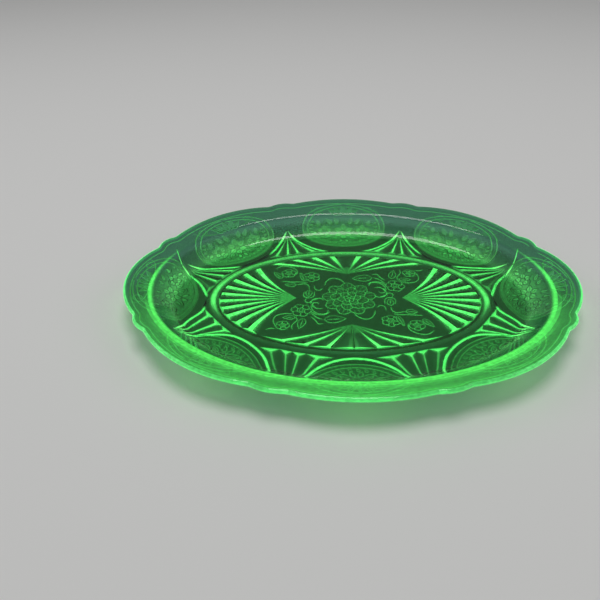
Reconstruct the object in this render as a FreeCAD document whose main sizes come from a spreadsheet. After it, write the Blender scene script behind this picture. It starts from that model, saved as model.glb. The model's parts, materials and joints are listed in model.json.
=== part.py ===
import FreeCAD, Part
import math
import os

# Oval pressed-glass platter, in millimetres.
# The origin is the centre of the flat base, +X runs along the length and +Z is up.
# The real platter is one piece of moulded glass, so the document has one sub-part.
# Its pressed ornament is cut up into the flat underside, as a mould plunger leaves it:
# a ring, fans of tapering flutes inside and outside the ring, and round medallions.

# Limits that tell edges apart when they are rounded: how level an edge has to be, how near
# to the outline a rim edge lies as a share of the half sizes, and how much it may rise.
LEVEL_TOLERANCE = 0.01
RIM_REACH = 0.96
RIM_EDGE_RISE = 2

doc = FreeCAD.newDocument("Platter")

DIMENSIONS = {
    # overall size
    "half_length": 165,
    "half_width": 125,
    "rim_height": 22.2,
    # section through floor, wall and flange; an offset is measured in from the rim
    "floor_thickness": 4,
    "base_offset": 36.5,
    "foot_offset": 34.5,
    "shoulder_offset": 19.5,
    "shoulder_height": 17,
    "under_shoulder_offset": 18,
    "under_shoulder_height": 14,
    "under_rim_height": 18.7,
    "rim_overhang": 6,
    "blank_top": 25,
    "cutter_overhang": 30,
    "foot_fillet": 9,
    "base_fillet": 6,
    "shoulder_fillet": 4,
    "under_shoulder_fillet": 6,
    "rim_fillet": 1,
    # scalloped outline: four corners of one quarter and the height of three of its arcs
    "end_corner_x": 149.8,
    "end_corner_y": 43.4,
    "flank_corner_x": 139.6,
    "flank_corner_y": 59.9,
    "diagonal_corner_x": 65.3,
    "diagonal_corner_y": 111.7,
    "side_corner_x": 44.4,
    "side_corner_y": 117.6,
    "flank_knob_bulge": 2.7,
    "diagonal_lobe_bulge": 10.6,
    "side_knob_bulge": 2.1,
    # ring groove in the floor
    "ring_half_length": 102,
    "ring_half_width": 62.3,
    "ring_groove_width": 6.5,
    "ring_groove_depth": 1,
    "ring_clearance": 4.4,
    # flutes: round grooves that grow from the tip of their fan
    "flute_start": 5,
    "flute_fill": 0.95,
    "flute_depth_rate": 0.018,
    # inner fans: tip distance from the centre, half spread in degrees, number of flutes
    "end_fan_tip": 39.6,
    "end_fan_spread": 54,
    "end_fan_flutes": 10,
    "side_fan_tip": 32,
    "side_fan_spread": 72,
    "side_fan_flutes": 8,
    # outer fans of one quarter: apex, and the directions of the two sides in degrees
    "outer_fan_flutes": 5,
    "flank_apex_x": 127,
    "flank_apex_y": 41.5,
    "flank_fan_from": 182,
    "flank_fan_to": 236,
    "side_apex_x": 50,
    "side_apex_y": 96,
    "side_fan_from": 221,
    "side_fan_to": 286,
    # medallions: two round lines each, cut as shallow grooves
    "medallion_radius": 44.5,
    "medallion_inner_radius": 36,
    "medallion_line_radius": 1,
    "medallion_line_drop": 0.4,
    "end_medallion_x": 152.5,
    "diagonal_medallion_x": 101.5,
    "diagonal_medallion_y": 86,
    "side_medallion_y": 110.5,
}

sheet = doc.addObject("Spreadsheet::Sheet", "dims")
for row, (alias, value) in enumerate(DIMENSIONS.items(), start=1):
    sheet.set("A%d" % row, alias)
    sheet.set("B%d" % row, str(value))
    sheet.setAlias("B%d" % row, alias)
doc.recompute()


def dim(alias):
    """Read one driving dimension back from the sheet."""
    return float(getattr(sheet, alias))


def add_ellipse(name, offset, height):
    """An ellipse parallel to the rim, `offset` inside it, at `height`; both are expressions."""
    ellipse = doc.addObject("Part::Ellipse", name)
    ellipse.setExpression("MajorRadius", "dims.half_length - (%s)" % offset)
    ellipse.setExpression("MinorRadius", "dims.half_width - (%s)" % offset)
    ellipse.setExpression("Placement.Base.z", height)
    return ellipse


def add_loft(name, sections):
    """A solid with straight sides between the given ellipses."""
    loft = doc.addObject("Part::Loft", name)
    loft.Sections = sections
    loft.Solid = True
    loft.Ruled = True
    return loft


# The blank: the outside of the platter, with a flange that runs past the rim.
blank = add_loft("blank", [
    add_ellipse("blank_base", "dims.base_offset", "0"),
    add_ellipse("blank_shoulder", "dims.under_shoulder_offset", "dims.under_shoulder_height"),
    add_ellipse(
        "blank_flange",
        "-dims.rim_overhang",
        "dims.under_rim_height + dims.rim_overhang * (dims.under_rim_height"
        " - dims.under_shoulder_height) / dims.under_shoulder_offset",
    ),
    add_ellipse("blank_top_edge", "-dims.rim_overhang", "dims.blank_top"),
])

# The hollow: the inside of the well and everything above the flange.
hollow = add_loft("hollow", [
    add_ellipse("well_floor", "dims.foot_offset", "dims.floor_thickness"),
    add_ellipse("well_shoulder", "dims.shoulder_offset", "dims.shoulder_height"),
    add_ellipse(
        "well_mouth",
        "-dims.cutter_overhang",
        "dims.rim_height + dims.cutter_overhang * (dims.rim_height - dims.shoulder_height)"
        " / dims.shoulder_offset",
    ),
])


def add_fillet(name, base, radius, wanted):
    """Round the edges of `base` whose shape satisfies `wanted` to one radius."""
    doc.recompute()
    numbers = [i for i, edge in enumerate(base.Shape.Edges, start=1) if wanted(edge)]
    fillet = doc.addObject("Part::Fillet", name)
    fillet.Base = base
    fillet.Edges = [(number, radius, radius) for number in numbers]
    return fillet


def level_edge(height):
    """Select the edges that lie flat at one height."""
    def wanted(edge):
        box = edge.BoundBox
        return abs(box.ZMin - height) < LEVEL_TOLERANCE and abs(box.ZMax - height) < LEVEL_TOLERANCE
    return wanted


outer_foot = add_fillet("outer_foot", blank, dim("base_fillet"), level_edge(0))
outer_shoulder = add_fillet(
    "outer_shoulder", outer_foot, dim("under_shoulder_fillet"), level_edge(dim("under_shoulder_height"))
)
inner_foot = add_fillet("inner_foot", hollow, dim("foot_fillet"), level_edge(dim("floor_thickness")))
inner_shoulder = add_fillet(
    "inner_shoulder", inner_foot, dim("shoulder_fillet"), level_edge(dim("shoulder_height"))
)

shell = doc.addObject("Part::Cut", "shell")
shell.Base = outer_shoulder
shell.Tool = inner_shoulder


# The scalloped outline: eight lobes with eight small knobs between them, all circular arcs.
def bulged_arc(start, end, bulge):
    """An arc from start to end that stands `bulge` outside the straight line between them."""
    chord = end - start
    outward = FreeCAD.Vector(chord.y, -chord.x, 0).normalize()
    return Part.Arc(start, (start + end) * 0.5 + outward * bulge, end).toShape()


def mirrored(point, sign_x, sign_y):
    return FreeCAD.Vector(sign_x * point.x, sign_y * point.y, 0)


end_corner = FreeCAD.Vector(dim("end_corner_x"), dim("end_corner_y"), 0)
flank_corner = FreeCAD.Vector(dim("flank_corner_x"), dim("flank_corner_y"), 0)
diagonal_corner = FreeCAD.Vector(dim("diagonal_corner_x"), dim("diagonal_corner_y"), 0)
side_corner = FreeCAD.Vector(dim("side_corner_x"), dim("side_corner_y"), 0)
quarter = [
    (end_corner, flank_corner, dim("flank_knob_bulge")),
    (flank_corner, diagonal_corner, dim("diagonal_lobe_bulge")),
    (diagonal_corner, side_corner, dim("side_knob_bulge")),
]
outline_edges = []
for sign_x, sign_y in ((1, 1), (-1, 1), (-1, -1), (1, -1)):
    for start, end, bulge in quarter:
        turn = sign_x * sign_y
        outline_edges.append(
            bulged_arc(mirrored(start, sign_x, sign_y), mirrored(end, sign_x, sign_y), turn * bulge)
        )
for sign in (1, -1):
    outline_edges.append(Part.Arc(
        FreeCAD.Vector(sign * end_corner.x, -end_corner.y, 0),
        FreeCAD.Vector(sign * dim("half_length"), 0, 0),
        FreeCAD.Vector(sign * end_corner.x, end_corner.y, 0),
    ).toShape())
    outline_edges.append(Part.Arc(
        FreeCAD.Vector(-side_corner.x, sign * side_corner.y, 0),
        FreeCAD.Vector(0, sign * dim("half_width"), 0),
        FreeCAD.Vector(side_corner.x, sign * side_corner.y, 0),
    ).toShape())
outline = doc.addObject("Part::Feature", "outline")
outline.Shape = Part.Face(Part.Wire(Part.__sortEdges__(outline_edges)))

outline_prism = doc.addObject("Part::Extrusion", "outline_prism")
outline_prism.Base = outline
outline_prism.DirMode = "Custom"
outline_prism.Dir = FreeCAD.Vector(0, 0, 1)
outline_prism.Solid = True
outline_prism.setExpression("LengthFwd", "dims.blank_top + dims.rim_height")

trimmed = doc.addObject("Part::Common", "trimmed")
trimmed.Base = shell
trimmed.Tool = outline_prism


def rim_edge(edge):
    """Select the upper and lower edges of the scalloped rim, which run nearly level round it."""
    box = edge.BoundBox
    middle = edge.valueAt(0.5 * (edge.FirstParameter + edge.LastParameter))
    reach = math.hypot(middle.x / dim("half_length"), middle.y / dim("half_width"))
    return reach > RIM_REACH and box.ZMax - box.ZMin < RIM_EDGE_RISE


rounded = add_fillet("rounded", trimmed, dim("rim_fillet"), rim_edge)

# The ring: one round groove that follows an ellipse in the floor.
ring_path = doc.addObject("Part::Ellipse", "ring_path")
ring_path.setExpression("MajorRadius", "dims.ring_half_length")
ring_path.setExpression("MinorRadius", "dims.ring_half_width")
ring_section = doc.addObject("Part::Circle", "ring_section")
ring_radius = (
    "((dims.ring_groove_width / 2) ^ 2 + dims.ring_groove_depth ^ 2) / (2 * dims.ring_groove_depth)"
)
ring_section.setExpression("Radius", ring_radius)
ring_section.Placement = FreeCAD.Placement(
    FreeCAD.Vector(), FreeCAD.Rotation(FreeCAD.Vector(1, 0, 0), 90)
)
ring_section.setExpression("Placement.Base.x", "dims.ring_half_length")
ring_section.setExpression("Placement.Base.z", "dims.ring_groove_depth - " + ring_radius)
ring_groove = doc.addObject("Part::Sweep", "ring_groove")
ring_groove.Sections = [ring_section]
ring_groove.Spine = (ring_path, ["Edge1"])
ring_groove.Solid = True
ring_groove.Frenet = True


def ring_reach(tip_x, tip_y, direction, clearance):
    """An expression for the distance from a tip to the ring, along `direction` in degrees.

    The tip's coordinates are expressions. The line ends `clearance` from the middle of the
    ring: inside it when the clearance is negative, outside it when it is positive.
    """
    major = "(dims.ring_half_length + %s)" % clearance
    minor = "(dims.ring_half_width + %s)" % clearance
    across = "cos(%.3f deg) / %s" % (direction, major)
    along = "sin(%.3f deg) / %s" % (direction, minor)
    square = "((%s)^2 + (%s)^2)" % (across, along)
    half_linear = "(%s / %s * %s + %s / %s * %s)" % (tip_x, major, across, tip_y, minor, along)
    constant = "((%s / %s)^2 + (%s / %s)^2 - 1)" % (tip_x, major, tip_y, minor)
    root = "sqrt(%s^2 - %s * %s)" % (half_linear, square, constant)
    sign = "+" if clearance.startswith("-") else "-"
    return "((-1 * %s %s %s) / %s)" % (half_linear, sign, root, square)


def add_flute(name, tip_x, tip_y, direction, pitch, reach):
    """One tapering round groove from a tip along `direction`, in degrees.

    All but the direction are expressions: `pitch` is the angle between neighbouring flutes, in
    degrees, and `reach` the length. The cone widens in proportion to its distance from the tip
    and lies below the base plane, so it cuts `flute_depth_rate` times that distance deep.
    """
    flute = doc.addObject("Part::Cone", name)
    radius_rate = "tan(%s * 1 deg / 2) * dims.flute_fill" % pitch
    flute.setExpression("Radius1", "dims.flute_start * %s" % radius_rate)
    flute.setExpression("Radius2", "%s * %s" % (reach, radius_rate))
    flute.setExpression("Height", "%s - dims.flute_start" % reach)
    drop_rate = "(dims.flute_depth_rate - %s)" % radius_rate
    flute.setExpression("Placement.Base.x", "%s + dims.flute_start * cos(%.3f deg)" % (tip_x, direction))
    flute.setExpression("Placement.Base.y", "%s + dims.flute_start * sin(%.3f deg)" % (tip_y, direction))
    flute.setExpression("Placement.Base.z", "dims.flute_start * %s" % drop_rate)
    doc.recompute()
    heading = math.radians(direction)
    drop = flute.Placement.Base.z / dim("flute_start")
    axis = FreeCAD.Vector(math.cos(heading), math.sin(heading), drop)
    flute.Placement.Rotation = FreeCAD.Rotation(FreeCAD.Vector(0, 0, 1), axis)
    return flute


def add_inner_fan(name, kind, tip_x, tip_y, middle):
    """A fan of flutes inside the ring, about the direction `middle`."""
    spread = dim(kind + "_fan_spread")
    number = int(dim(kind + "_fan_flutes"))
    pitch = "(2 * dims.%s_fan_spread / dims.%s_fan_flutes)" % (kind, kind)
    flutes = []
    for i in range(number):
        direction = middle - spread + (2 * i + 1) * spread / number
        reach = ring_reach(tip_x, tip_y, direction, "-dims.ring_clearance")
        flutes.append(add_flute("%s_flute_%d" % (name, i + 1), tip_x, tip_y, direction, pitch, reach))
    return flutes


def add_outer_fan(name, kind, sign_x, sign_y):
    """A fan outside the ring that spreads from its apex at the foot of the wall."""
    number = int(dim("outer_fan_flutes"))
    pitch = "((dims.%s_fan_to - dims.%s_fan_from) / dims.outer_fan_flutes)" % (kind, kind)
    step = (dim(kind + "_fan_to") - dim(kind + "_fan_from")) / number
    apex_x = "%d * dims.%s_apex_x" % (sign_x, kind)
    apex_y = "%d * dims.%s_apex_y" % (sign_y, kind)
    flutes = []
    for i in range(number):
        heading = math.radians(dim(kind + "_fan_from") + (i + 0.5) * step)
        direction = math.degrees(math.atan2(sign_y * math.sin(heading), sign_x * math.cos(heading)))
        reach = ring_reach(apex_x, apex_y, direction, "dims.ring_clearance")
        flutes.append(add_flute("%s_flute_%d" % (name, i + 1), apex_x, apex_y, direction, pitch, reach))
    return flutes


inner_flutes = (
    add_inner_fan("right", "end", "dims.end_fan_tip", "0", 0)
    + add_inner_fan("left", "end", "-dims.end_fan_tip", "0", 180)
    + add_inner_fan("back", "side", "0", "dims.side_fan_tip", 90)
    + add_inner_fan("front", "side", "0", "-dims.side_fan_tip", -90)
)

QUARTERS = (("right_back", 1, 1), ("left_back", -1, 1), ("left_front", -1, -1), ("right_front", 1, -1))
outer_flutes = []
for name, sign_x, sign_y in QUARTERS:
    outer_flutes += add_outer_fan(name + "_flank", "flank", sign_x, sign_y)
    outer_flutes += add_outer_fan(name + "_side", "side", sign_x, sign_y)

inner_fans = doc.addObject("Part::MultiFuse", "inner_fans")
inner_fans.Shapes = inner_flutes
outer_fans = doc.addObject("Part::MultiFuse", "outer_fans")
outer_fans.Shapes = outer_flutes


def add_medallion_line(name, x, y, radius):
    """A round line about the medallion centre at the expressions x and y."""
    line = doc.addObject("Part::Torus", name)
    line.setExpression("Radius1", radius)
    line.setExpression("Radius2", "dims.medallion_line_radius")
    line.setExpression("Placement.Base.x", x)
    line.setExpression("Placement.Base.y", y)
    line.setExpression("Placement.Base.z", "-dims.medallion_line_drop")
    return line


MEDALLIONS = {
    "right": ("dims.end_medallion_x", "0"),
    "left": ("-dims.end_medallion_x", "0"),
    "back": ("0", "dims.side_medallion_y"),
    "front": ("0", "-dims.side_medallion_y"),
}
for name, sign_x, sign_y in QUARTERS:
    MEDALLIONS[name] = (
        "%d * dims.diagonal_medallion_x" % sign_x, "%d * dims.diagonal_medallion_y" % sign_y
    )
borders = doc.addObject("Part::MultiFuse", "medallion_borders")
borders.Shapes = [
    add_medallion_line(name + "_border", x, y, "dims.medallion_radius")
    for name, (x, y) in MEDALLIONS.items()
]
inner_lines = doc.addObject("Part::MultiFuse", "medallion_inner_lines")
inner_lines.Shapes = [
    add_medallion_line(name + "_inner_line", x, y, "dims.medallion_inner_radius")
    for name, (x, y) in MEDALLIONS.items()
]

# The ornament is cut into the rounded blank one kind at a time.
cut_glass = rounded
for tool in (ring_groove, inner_fans, outer_fans, borders, inner_lines):
    cut = doc.addObject("Part::Cut", "with_" + tool.Name)
    cut.Base = cut_glass
    cut.Tool = tool
    cut_glass = cut
cut_glass.Label = "platter"
doc.recompute()

SUB_PARTS = {"platter": cut_glass}

for item in doc.Objects:
    if "Invalid" in item.State or "Error" in item.State:
        raise RuntimeError("%s did not recompute: %s" % (item.Name, item.State))
os.makedirs("parts", exist_ok=True)
for node, item in SUB_PARTS.items():
    if item.Shape.isNull() or not item.Shape.isValid() or len(item.Shape.Solids) != 1:
        raise RuntimeError("%s is not one valid solid" % node)
    item.Shape.exportStep("parts/%s.step" % node)
    box = item.Shape.optimalBoundingBox(False)
    print(
        "%s: %.1f x %.1f x %.1f mm, %.1f cm3"
        % (node, box.XLength, box.YLength, box.ZLength, item.Shape.Volume / 1000)
    )
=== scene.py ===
import json
import math

import bpy
import numpy as np
from mathutils import Matrix, Vector, geometry, kdtree

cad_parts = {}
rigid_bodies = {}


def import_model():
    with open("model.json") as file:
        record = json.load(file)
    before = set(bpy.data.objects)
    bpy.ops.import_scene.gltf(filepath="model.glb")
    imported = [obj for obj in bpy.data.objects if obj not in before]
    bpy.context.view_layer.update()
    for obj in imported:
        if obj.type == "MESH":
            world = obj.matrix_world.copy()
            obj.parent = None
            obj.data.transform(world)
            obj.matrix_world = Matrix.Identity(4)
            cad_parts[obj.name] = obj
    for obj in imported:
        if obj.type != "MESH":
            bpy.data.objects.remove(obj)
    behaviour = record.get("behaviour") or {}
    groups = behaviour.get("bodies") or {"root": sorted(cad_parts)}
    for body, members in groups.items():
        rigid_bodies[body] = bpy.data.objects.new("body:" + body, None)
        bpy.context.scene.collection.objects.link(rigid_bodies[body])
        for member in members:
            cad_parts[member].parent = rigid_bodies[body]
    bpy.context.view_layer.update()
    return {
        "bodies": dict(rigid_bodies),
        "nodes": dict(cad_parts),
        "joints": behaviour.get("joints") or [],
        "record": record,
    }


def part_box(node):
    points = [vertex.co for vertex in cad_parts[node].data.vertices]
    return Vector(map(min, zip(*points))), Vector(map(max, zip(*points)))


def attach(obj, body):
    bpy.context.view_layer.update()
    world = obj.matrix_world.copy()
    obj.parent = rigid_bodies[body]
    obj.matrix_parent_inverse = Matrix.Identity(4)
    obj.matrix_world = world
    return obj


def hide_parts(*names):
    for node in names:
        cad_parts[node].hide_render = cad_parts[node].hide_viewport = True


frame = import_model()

# The pressed-glass platter, drawn in plan in millimetres and lifted to its section afterwards.
# Its upper face is smooth. The ornament is cut up into the underside, as the mould leaves it,
# so every line of it is an edge of one closed glass mesh.

MM = 0.001
_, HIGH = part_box("platter")
HALF_LENGTH = HIGH.x / MM
HALF_WIDTH = HIGH.y / MM

# Section: corners as (distance in from the rim, height) and the radius that rounds each.
TOP_CORNERS = [(-8, 24.3), (19.5, 17), (34.5, 4), (130, 4)]
TOP_RADII = [4, 9]
UNDER_CORNERS = [(-8, 20.8), (18, 14), (36.5, 0), (130, 0)]
UNDER_RADII = [6, 6]
RIM_ROUND = 1.7

# Outline: corners of one quarter, and how far each arc after a corner stands outside its chord.
QUARTER_CORNERS = [(149.8, 43.4), (139.6, 59.9), (65.3, 111.7), (44.4, 117.6)]
FLANK_KNOB, DIAGONAL_LOBE, SIDE_KNOB = 2.7, 10.6, 2.1
SIDE_LOBE = HALF_WIDTH - QUARTER_CORNERS[3][1]
END_LOBE = HALF_LENGTH - QUARTER_CORNERS[0][0]
OUTLINE_STEP = 1.25
SMOOTHING = 1

QUADRANTS = [(1, 1), (-1, 1), (-1, -1), (1, -1)]

# Colour of the painted glow that stands in for the fluorescence and the light carried in the glass:
# where nothing is in front of it, and on the underside, where the glass in front takes most of it.
UPPER_GLOW = (0.10, 1.0, 0.12)
RIM_GLOW = (0.14, 1.0, 0.22)
UNDER_GLOW = (1.6, 4.7, 1.05)
GROUND_GLOW = 0.036

FLOOR_LEVEL = -0.0003
FLOOR_HALF = 3.0
CAMERA_PLACE = (-0.03085, -0.3649, 0.2665)
CAMERA_ELEVATION = math.radians(36.14)
CAMERA_AZIMUTH = math.radians(-0.96)
CAMERA_ROLL = math.radians(-0.64)


# ---- section and outline

ROUND_STEPS = 9


def rounded_section(corners, radii):
    """A section line with its inner corners rounded, as arrays of inset and height."""
    points = [corners[0]]
    for i, radius in enumerate(radii, start=1):
        before, corner, after = (Vector(corners[j]) for j in (i - 1, i, i + 1))
        to_before = (before - corner).normalized()
        to_after = (after - corner).normalized()
        half_angle = 0.5 * to_before.angle(to_after)
        run = radius / math.tan(half_angle)
        centre = corner + (to_before + to_after).normalized() * radius / math.sin(half_angle)
        first = corner + to_before * run - centre
        last = corner + to_after * run - centre
        for step in np.linspace(0, 1, ROUND_STEPS):
            spoke = (first * (1 - step) + last * step).normalized() * radius
            points.append(tuple(centre + spoke))
    points.append(corners[-1])
    line = np.array(points)
    return line[:, 0], line[:, 1]


TOP_LINE = rounded_section(TOP_CORNERS, TOP_RADII)
UNDER_LINE = rounded_section(UNDER_CORNERS, UNDER_RADII)


def inset_of(points):
    """How far each plan point lies inside the rim, measured between parallel ellipses."""
    low = np.full(len(points), -12.0)
    high = np.full(len(points), HALF_WIDTH - 0.001)
    square = np.square(points)
    for _ in range(36):
        middle = 0.5 * (low + high)
        reach = square[:, 0] / (HALF_LENGTH - middle) ** 2 + square[:, 1] / (HALF_WIDTH - middle) ** 2
        outside = reach > 1
        high = np.where(outside, middle, high)
        low = np.where(outside, low, middle)
    return low


def ellipse(half_length, half_width, step, start=0.0):
    """A closed ellipse in plan with points about `step` apart."""
    around = math.pi * (half_length + half_width)
    angles = start + np.linspace(0, 2 * math.pi, max(12, int(around / step)), endpoint=False)
    return np.stack([half_length * np.cos(angles), half_width * np.sin(angles)], 1)


def ellipse_share(points, size):
    """0 in the middle of an ellipse with these half sizes, 1 on it and more outside it."""
    return (points[:, 0] / size[0]) ** 2 + (points[:, 1] / size[1]) ** 2


def bulged_arc(start, end, bulge, count):
    """Points of a circular arc from start towards end; the arc bulges to the right of the chord."""
    start, end = np.array(start, float), np.array(end, float)
    chord = end - start
    half = 0.5 * np.linalg.norm(chord)
    outward = np.array([chord[1], -chord[0]]) / (2 * half)
    radius = (half ** 2 + bulge ** 2) / (2 * bulge)
    centre = 0.5 * (start + end) + outward * (bulge - radius)
    sweep = 2 * math.asin(half / radius)
    first = math.atan2(*(start - centre)[::-1])
    angles = first + np.linspace(0, sweep, count, endpoint=False)
    return centre + radius * np.stack([np.cos(angles), np.sin(angles)], 1)


def outline_loop():
    """The scalloped outline, anticlockwise: eight lobes with a small knob between each two."""
    bulges = [FLANK_KNOB, DIAGONAL_LOBE, SIDE_KNOB]
    corners, heights = [], []
    for sign_x, sign_y in QUADRANTS:
        ordered = QUARTER_CORNERS if sign_x * sign_y > 0 else QUARTER_CORNERS[::-1]
        corners += [(sign_x * x, sign_y * y) for x, y in ordered]
        heights += bulges if sign_x * sign_y > 0 else bulges[::-1]
        heights.append(SIDE_LOBE if sign_x * sign_y > 0 else END_LOBE)
    pieces = []
    for i, corner in enumerate(corners):
        following = corners[(i + 1) % len(corners)]
        length = math.dist(corner, following)
        pieces.append(bulged_arc(corner, following, heights[i], max(6, round(length / OUTLINE_STEP))))
    loop = np.concatenate(pieces)
    for _ in range(SMOOTHING):
        loop = (np.roll(loop, 1, 0) + 2 * loop + np.roll(loop, -1, 0)) / 4
    return loop


def inward(loop):
    """Unit normals of an anticlockwise loop, pointing into the glass."""
    along = np.roll(loop, -1, 0) - np.roll(loop, 1, 0)
    along /= np.linalg.norm(along, axis=1)[:, None]
    return np.stack([-along[:, 1], along[:, 0]], 1)


def inside_polygon(points, polygon):
    """Which of the plan points lie inside a closed polygon."""
    x, y = points[:, 0], points[:, 1]
    inside = np.zeros(len(points), bool)
    for (x1, y1), (x2, y2) in zip(polygon, np.roll(polygon, -1, 0)):
        if y1 == y2:
            continue
        crosses = (y1 > y) != (y2 > y)
        inside ^= crosses & (x < (x2 - x1) * (y - y1) / (y2 - y1) + x1)
    return inside


def section_height(line, points):
    """Height of a section line above each plan point."""
    return np.interp(inset_of(points), *line)


def evenly(path, step):
    """The same path with points about `step` apart."""
    path = np.array(path, float)
    run = np.concatenate([[0], np.cumsum(np.linalg.norm(np.diff(path, axis=0), axis=1))])
    marks = np.linspace(0, run[-1], max(3, round(run[-1] / step) + 1))
    return np.stack([np.interp(marks, run, path[:, 0]), np.interp(marks, run, path[:, 1])], 1)


def flowing(corners, rounds=3):
    """A smooth path through the middle of a few corners (Chaikin's rule), ends kept."""
    path = np.array(corners, float)
    for _ in range(rounds):
        first, second = path[:-1], path[1:]
        cut = np.stack([0.75 * first + 0.25 * second, 0.25 * first + 0.75 * second], 1)
        path = np.concatenate([path[:1], cut.reshape(-1, 2)[1:-1], path[-1:]])
    return path


def normals_of(path):
    """Unit normals to the left of an open path."""
    along = np.gradient(path, axis=0)
    along /= np.maximum(np.linalg.norm(along, axis=1), 1e-9)[:, None]
    return np.stack([-along[:, 1], along[:, 0]], 1)


# ---- plan of the ornament

STROKE_STEP = 1.4
LINE_DEPTH = 0.28
PAD_DEPTH = 0.22


class Plan:
    """Lines and areas of the underside in plan, with the depth each point is cut up into the glass.

    A later area lies over an earlier one. Its painted glow is a number, or a function that gives the
    glow at each of an array of plan points. `solid` holds outlines that need no filling points."""

    def __init__(self):
        self.points = []
        self.depths = []
        self.edges = []
        self.areas = []
        self.glows = []
        self.solid = []

    def line(self, points, depth, closed=False):
        first = len(self.points)
        self.points += [tuple(p) for p in points]
        self.depths += [float(d) for d in np.broadcast_to(depth, len(points))]
        numbers = list(range(first, len(self.points)))
        self.edges += list(zip(numbers, numbers[1:]))
        if closed:
            self.edges.append((numbers[-1], numbers[0]))
        return numbers

    def area(self, numbers, glow):
        x, y = np.array([self.points[n] for n in numbers]).T
        anticlockwise = np.sum(x * np.roll(y, -1) - y * np.roll(x, -1)) > 0
        self.areas.append(numbers if anticlockwise else numbers[::-1])
        self.glows.append(glow)

    def stroke(self, path, width, glow, depth=LINE_DEPTH, slim=None):
        """A fine V groove along an open path, tapered at both ends and slimmed where `slim` says."""
        path = evenly(path, STROKE_STEP)
        number = np.arange(len(path))
        taper = np.minimum(1, 0.35 + np.minimum(number, number[::-1]) / 3)
        if slim:
            taper = taper * slim(path)
        side = normals_of(path) * (0.5 * width * taper)[:, None]
        left = self.line(path + side, 0)
        self.line(path, depth * taper)
        right = self.line(path - side, 0)
        for i in range(len(path) - 1):
            self.area([left[i], left[i + 1], right[i + 1], right[i]], glow)

    def pad(self, outline, border, line_glow, fill_glow, depth=PAD_DEPTH):
        """A closed shape pressed in with a sloping border."""
        outline = np.array(outline)
        x, y = outline.T
        if np.sum(x * np.roll(y, -1) - y * np.roll(x, -1)) < 0:
            outline = outline[::-1]
        edge = self.line(outline, 0, closed=True)
        floor = self.line(outline + inward(outline) * border, depth, closed=True)
        self.area(edge, line_glow)
        self.area(floor, fill_glow)
        self.solid.append(outline)


# Fans: points along each line, first row that is cut, share of the line that the flutes reach,
# and how far the haze of the tip goes.
FAN_ROWS = 28
FAN_START = 1
FAN_END = 0.965
FLUTE_DEPTH = 1.1
HAZE_ROWS = 11
HAZE_REACH = 22.0


def bezier(start, middle, end, count):
    """Points of a quadratic curve."""
    s = np.linspace(0, 1, count)[:, None]
    start, middle, end = np.array(start), np.array(middle), np.array(end)
    return (1 - s) ** 2 * start + 2 * s * (1 - s) * middle + s ** 2 * end


def bent_crest(apex, end, lean):
    """A fan line that leaves its apex nearer the fan's axis than its end lies, by the share `lean`."""
    apex, end = np.array(apex, float), np.array(end, float)
    axis = math.atan2(apex[1], apex[0])
    chord = end - apex
    angle = (math.atan2(chord[1], chord[0]) - axis + math.pi) % (2 * math.pi) - math.pi
    half = 0.5 * np.linalg.norm(chord)
    turn = axis + lean * angle
    middle = apex + half * np.array([math.cos(turn), math.sin(turn)])
    return bezier(apex, middle, end, FAN_ROWS)


def between(first, second, share):
    """The mix of two values or arrays, `share` of the way from the first to the second."""
    return first * (1 - share) + second * share


def add_flute(plan, first, second, floor, glow, end_glow, finish, depth, start):
    """One flute between two fan lines: two sloping sides, a flat floor and a step at the end, each with
    a painted glow.

    `floor` gives where the floor lies, as shares of the way from the first line to the second."""
    share = np.linspace(0, 1, len(first))
    rows = [i for i in range(start, len(first)) if share[i] < finish - 0.02]
    last = finish * (len(first) - 1)
    begin = share[start - 1]
    sides = []
    for part in floor:
        middle = between(first, second, part)
        end = np.array([np.interp(last, np.arange(len(first)), middle[:, i]) for i in (0, 1)])
        path = np.concatenate([middle[rows], [end]])
        depths = depth * (np.concatenate([share[rows], [finish]]) - begin) / (1 - begin)
        sides.append(plan.line(path, depths))
    plan.edges.append((sides[0][-1], sides[1][-1]))
    corners = plan.line([first[-1], second[-1]], 0)
    plan.edges += [(sides[0][-1], corners[0]), (sides[1][-1], corners[1])]
    plan.area(sides[0] + sides[1][::-1], glow)
    plan.area([corners[0], sides[0][-1], sides[1][-1], corners[1]], end_glow)


def run_from(apex, points):
    """Distance of each plan point from an apex."""
    return np.linalg.norm(points - apex, axis=1)


def haze_round(apex, haze):
    """The painted glow of the haze, strongest at the tip of the fan."""
    return lambda points: haze * (1 - smoothstep(0.25, 1, run_from(apex, points) / HAZE_REACH))


def add_fan(plan, crests, floors, glows, end_glows, haze=0.0, finish=FAN_END, depth=FLUTE_DEPTH,
            start=FAN_START):
    """Flutes side by side between neighbouring fan lines, with a painted hazy glow where they run
    together.
    """
    apex = crests[0][0]
    for crest in crests:
        plan.line(crest[start:], 0)
    if haze:
        tip = plan.line([apex], 0)
        first_side = plan.line(crests[0][start:HAZE_ROWS], 0)
        last_side = plan.line(crests[-1][start:HAZE_ROWS], 0)
        plan.area(tip + first_side + last_side[::-1], haze_round(apex, haze))
    for i in range(len(crests) - 1):
        add_flute(plan, crests[i], crests[i + 1], floors[i], glows[i], end_glows[i], finish, depth,
                  start)
    plan.solid.append(np.concatenate([crests[0][start:], crests[-1][:start - 1:-1]]))


# Ring and the four fans inside it

RING_OUTER = (105.3, 65.5)
RING_INNER = (98.5, 58.9)
RING_ROWS = [0.0, 0.22, 0.5, 0.78, 1.0]
RING_DEPTH = 1.0
RING_STEP = 2.0
LAND = 0.5


def on_ring(size, angle, gap=0.0):
    """A plan point on one of the ring's ellipses; angle is the ellipse parameter in degrees."""
    turn = math.radians(angle)
    return (size[0] + gap) * math.cos(turn), (size[1] + gap) * math.sin(turn)


def smoothstep(low, high, value):
    """0 below `low`, 1 above `high` and a smooth curve between them."""
    share = np.clip((value - low) / (high - low), 0, 1)
    return share * share * (3 - 2 * share)


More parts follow.
